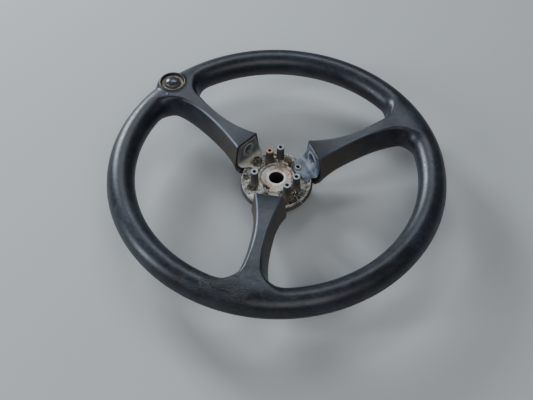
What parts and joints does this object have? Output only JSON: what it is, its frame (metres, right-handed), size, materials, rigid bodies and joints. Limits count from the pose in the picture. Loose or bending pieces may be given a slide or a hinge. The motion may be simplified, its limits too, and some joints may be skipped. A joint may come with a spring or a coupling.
{
  "type": "steering wheel",
  "caption": "Moulded steering wheel on a steel armature, centre cover off, with a serrated hub insert, pad posts and a turning knob spindle in the rim.",
  "frame": {"origin": "on the column's axis, at the rear mouth of the hub insert's bore", "axes": "+Z along the column towards the driver, +Y away from the lower spoke, +X to the driver's right"},
  "size_m": [0.4, 0.3999, 0.0706],
  "materials": {
    "moulding": "satin black soft moulding, rubbed smooth, dusty below",
    "core_steel": "plain steel inside the moulding",
    "arm_steel": "dull grey, dirty",
    "weld_metal": "weld metal under dirt",
    "plate_casting": "cast, chalky cream oxide and dirt",
    "insert_steel": "light rust, bright ring where the nut sat",
    "post_plastic": "black, dusty",
    "sleeve_steel": "pale, dull",
    "rusty_sleeve": "orange rust",
    "eyelet_steel": "dull",
    "block_plastic": "black, crusted with dust",
    "blade_brass": "tarnished",
    "socket_steel": "coated in tan dust",
    "bush_bronze": "dark oil-stained bronze",
    "knob_plastic": "polished by the hand",
    "clip_steel": "dark spring steel",
    "cap_rubber": "dull black"
  },
  "bodies": {
    "wheel": {"rim_moulding": "moulding", "rim_core": "core_steel", "arm_right": "arm_steel", "arm_left": "arm_steel", "arm_lower": "arm_steel", "arm_welds": "weld_metal", "hub_plate": "plate_casting", "hub_insert": "insert_steel", "lead_eyelet": "eyelet_steel", "contact_block": "block_plastic", "contact_blade": "blade_brass", "knob_socket": "socket_steel", "knob_bush": "bush_bronze", "knob_dust_cap": "cap_rubber", "pad_post_one": "post_plastic", "post_sleeve_one": "rusty_sleeve", "pad_post_two": "post_plastic", "post_sleeve_two": "sleeve_steel", "pad_post_three": "post_plastic", "post_sleeve_three": "sleeve_steel", "pad_post_four": "post_plastic", "post_sleeve_four": "sleeve_steel", "pad_post_five": "post_plastic", "post_sleeve_five": "sleeve_steel"},
    "knob": {"knob_spindle": "knob_plastic", "knob_circlip": "clip_steel"}
  },
  "joints": [
    {"name": "knob_turn", "type": "hinge", "parent": "wheel", "child": "knob", "pos_m": [-0.15171, 0.10233, 0.05], "axis": [0, 0, 1], "continuous": true}
  ]
}
